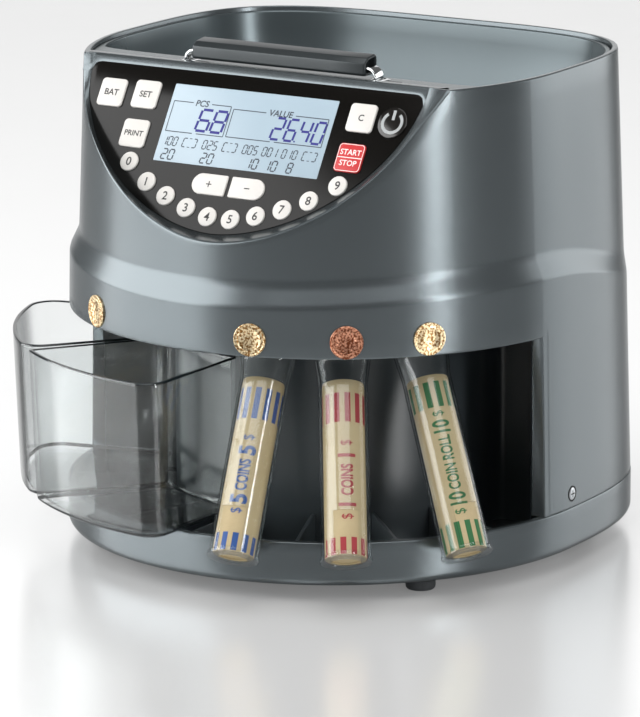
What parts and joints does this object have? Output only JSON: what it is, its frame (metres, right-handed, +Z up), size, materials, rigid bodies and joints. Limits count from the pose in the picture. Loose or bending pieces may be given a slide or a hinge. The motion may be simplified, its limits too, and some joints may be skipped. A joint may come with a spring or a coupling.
{
  "type": "coin sorting machine",
  "caption": "Desktop coin sorter with a deep hopper, rotary sorting disc, sloped keypad and display, two slide-out coin bins and leaning coin tubes with paper wrappers.",
  "frame": {"origin": "centre of the bounding box on the table surface", "axes": "+Z up, -Y towards the user at the control panel, +X to the user's right"},
  "size_m": [0.3217, 0.3202, 0.2772],
  "materials": {
    "housing_paint": "satin slate grey moulded plastic",
    "base_plastic": "satin dark slate plastic",
    "dark_plastic": "matt black plastic",
    "fascia_black": "gloss black printed panel",
    "steel": "brushed",
    "chrome": "polished",
    "aluminium": "satin",
    "grip_plastic": "soft satin",
    "key_white": "satin",
    "key_red": "satin",
    "button_black": "gloss",
    "lcd_glass": "lit liquid crystal pane",
    "board": "green circuit board",
    "clear_plastic": "clear moulded plastic",
    "smoke_plastic": "smoke-tinted moulded plastic",
    "kraft": "kraft paper, printed",
    "gold": "bright",
    "copper": "bright copper tone",
    "psu_metal": "plain sheet metal",
    "foot_clear": "translucent grey"
  },
  "bodies": {
    "machine": {"base_tray": "base_plastic", "feet": "foot_clear", "housing": "housing_paint", "bay_wall": "dark_plastic", "sort_deck": "dark_plastic", "tube_rails": "dark_plastic", "sort_rail": "aluminium", "gear_motor": "psu_metal", "hopper": "housing_paint", "handle_feet": "chrome", "fascia": "fascia_black", "lcd_glass": "lcd_glass", "lcd_module": "board", "key_board": "board", "badge_1": "gold", "badge_2": "gold", "badge_3": "copper", "badge_4": "gold", "power_supply": "psu_metal", "main_board": "board", "power_inlet": "dark_plastic", "side_screws": "steel"},
    "rotor": {"sorting_disc": "aluminium", "drive_shaft": "steel"},
    "handle": {"handle_strap": "chrome", "handle_grip": "grip_plastic"},
    "bin_front": {"bin_front": "smoke_plastic"},
    "bin_left": {"bin_left": "smoke_plastic"},
    "tube_1": {"tube_1": "clear_plastic"},
    "wrapper_1": {"wrapper_1": "kraft"},
    "tube_2": {"tube_2": "clear_plastic"},
    "wrapper_2": {"wrapper_2": "kraft"},
    "tube_3": {"tube_3": "clear_plastic"},
    "wrapper_3": {"wrapper_3": "kraft"},
    "key_bat": {"key_bat": "key_white"},
    "key_set": {"key_set": "key_white"},
    "key_print": {"key_print": "key_white"},
    "key_clear": {"key_clear": "key_white"},
    "key_start": {"key_start": "key_red"},
    "key_plus": {"key_plus": "key_white"},
    "key_minus": {"key_minus": "key_white"},
    "key_0": {"key_0": "key_white"},
    "key_1": {"key_1": "key_white"},
    "key_2": {"key_2": "key_white"},
    "key_3": {"key_3": "key_white"},
    "key_4": {"key_4": "key_white"},
    "key_5": {"key_5": "key_white"},
    "key_6": {"key_6": "key_white"},
    "key_7": {"key_7": "key_white"},
    "key_8": {"key_8": "key_white"},
    "key_9": {"key_9": "key_white"},
    "power_button": {"power_button": "button_black"}
  },
  "joints": [
    {"name": "disc_spin", "type": "hinge", "parent": "machine", "child": "rotor", "pos_m": [0.00877, 0.01776, 0.147], "axis": [0, 0, 1], "continuous": true},
    {"name": "handle_lift", "type": "slide", "parent": "machine", "child": "handle", "axis": [0, 0, 1], "range_m": [0, 0.01]},
    {"name": "bin_front_slide", "type": "slide", "parent": "machine", "child": "bin_front", "axis": [-0.3305, -0.9438, 0], "range_m": [0, 0.12]},
    {"name": "bin_left_slide", "type": "slide", "parent": "machine", "child": "bin_left", "axis": [-0.8545, -0.5195, 0], "range_m": [0, 0.12]},
    {"name": "tube_1_slide", "type": "slide", "parent": "machine", "child": "tube_1", "axis": [0.2267, -0.974, 0], "range_m": [0, 0.08]},
    {"name": "wrapper_1_lift", "type": "slide", "parent": "tube_1", "child": "wrapper_1", "axis": [-0.1198, 0.5147, 0.849], "range_m": [0, 0.0025]},
    {"name": "tube_2_slide", "type": "slide", "parent": "machine", "child": "tube_2", "axis": [0.5476, -0.8368, 0], "range_m": [0, 0.08]},
    {"name": "wrapper_2_lift", "type": "slide", "parent": "tube_2", "child": "wrapper_2", "axis": [-0.2894, 0.4422, 0.849], "range_m": [0, 0.0025]},
    {"name": "tube_3_slide", "type": "slide", "parent": "machine", "child": "tube_3", "axis": [0.8192, -0.5736, 0], "range_m": [0, 0.08]},
    {"name": "wrapper_3_lift", "type": "slide", "parent": "tube_3", "child": "wrapper_3", "axis": [-0.4329, 0.3031, 0.849], "range_m": [0, 0.0025]},
    {"name": "key_bat_press", "type": "slide", "parent": "machine", "child": "key_bat", "axis": [0, 0.849, -0.5284], "range_m": [0, 0.0009], "stiffness_N_per_m": 400, "springref_m": -0.0002},
    {"name": "key_set_press", "type": "slide", "parent": "machine", "child": "key_set", "axis": [0, 0.849, -0.5284], "range_m": [0, 0.0009], "stiffness_N_per_m": 400, "springref_m": -0.0002},
    {"name": "key_print_press", "type": "slide", "parent": "machine", "child": "key_print", "axis": [0, 0.849, -0.5284], "range_m": [0, 0.0009], "stiffness_N_per_m": 400, "springref_m": -0.0002},
    {"name": "key_clear_press", "type": "slide", "parent": "machine", "child": "key_clear", "axis": [0, 0.849, -0.5284], "range_m": [0, 0.0009], "stiffness_N_per_m": 400, "springref_m": -0.0002},
    {"name": "key_start_press", "type": "slide", "parent": "machine", "child": "key_start", "axis": [0, 0.849, -0.5284], "range_m": [0, 0.0009], "stiffness_N_per_m": 400, "springref_m": -0.0002},
    {"name": "key_plus_press", "type": "slide", "parent": "machine", "child": "key_plus", "axis": [0, 0.849, -0.5284], "range_m": [0, 0.0009], "stiffness_N_per_m": 400, "springref_m": -0.0002},
    {"name": "key_minus_press", "type": "slide", "parent": "machine", "child": "key_minus", "axis": [0, 0.849, -0.5284], "range_m": [0, 0.0009], "stiffness_N_per_m": 400, "springref_m": -0.0002},
    {"name": "key_0_press", "type": "slide", "parent": "machine", "child": "key_0", "axis": [0, 0.849, -0.5284], "range_m": [0, 0.0009], "stiffness_N_per_m": 400, "springref_m": -0.0002},
    {"name": "key_1_press", "type": "slide", "parent": "machine", "child": "key_1", "axis": [0, 0.849, -0.5284], "range_m": [0, 0.0009], "stiffness_N_per_m": 400, "springref_m": -0.0002},
    {"name": "key_2_press", "type": "slide", "parent": "machine", "child": "key_2", "axis": [0, 0.849, -0.5284], "range_m": [0, 0.0009], "stiffness_N_per_m": 400, "springref_m": -0.0002},
    {"name": "key_3_press", "type": "slide", "parent": "machine", "child": "key_3", "axis": [0, 0.849, -0.5284], "range_m": [0, 0.0009], "stiffness_N_per_m": 400, "springref_m": -0.0002},
    {"name": "key_4_press", "type": "slide", "parent": "machine", "child": "key_4", "axis": [0, 0.849, -0.5284], "range_m": [0, 0.0009], "stiffness_N_per_m": 400, "springref_m": -0.0002},
    {"name": "key_5_press", "type": "slide", "parent": "machine", "child": "key_5", "axis": [0, 0.849, -0.5284], "range_m": [0, 0.0009], "stiffness_N_per_m": 400, "springref_m": -0.0002},
    {"name": "key_6_press", "type": "slide", "parent": "machine", "child": "key_6", "axis": [0, 0.849, -0.5284], "range_m": [0, 0.0009], "stiffness_N_per_m": 400, "springref_m": -0.0002},
    {"name": "key_7_press", "type": "slide", "parent": "machine", "child": "key_7", "axis": [0, 0.849, -0.5284], "range_m": [0, 0.0009], "stiffness_N_per_m": 400, "springref_m": -0.0002},
    {"name": "key_8_press", "type": "slide", "parent": "machine", "child": "key_8", "axis": [0, 0.849, -0.5284], "range_m": [0, 0.0009], "stiffness_N_per_m": 400, "springref_m": -0.0002},
    {"name": "key_9_press", "type": "slide", "parent": "machine", "child": "key_9", "axis": [0, 0.849, -0.5284], "range_m": [0, 0.0009], "stiffness_N_per_m": 400, "springref_m": -0.0002},
    {"name": "power_button_press", "type": "slide", "parent": "machine", "child": "power_button", "axis": [0, 0.849, -0.5284], "range_m": [0, 0.0009], "stiffness_N_per_m": 400, "springref_m": -0.0002}
  ]
}
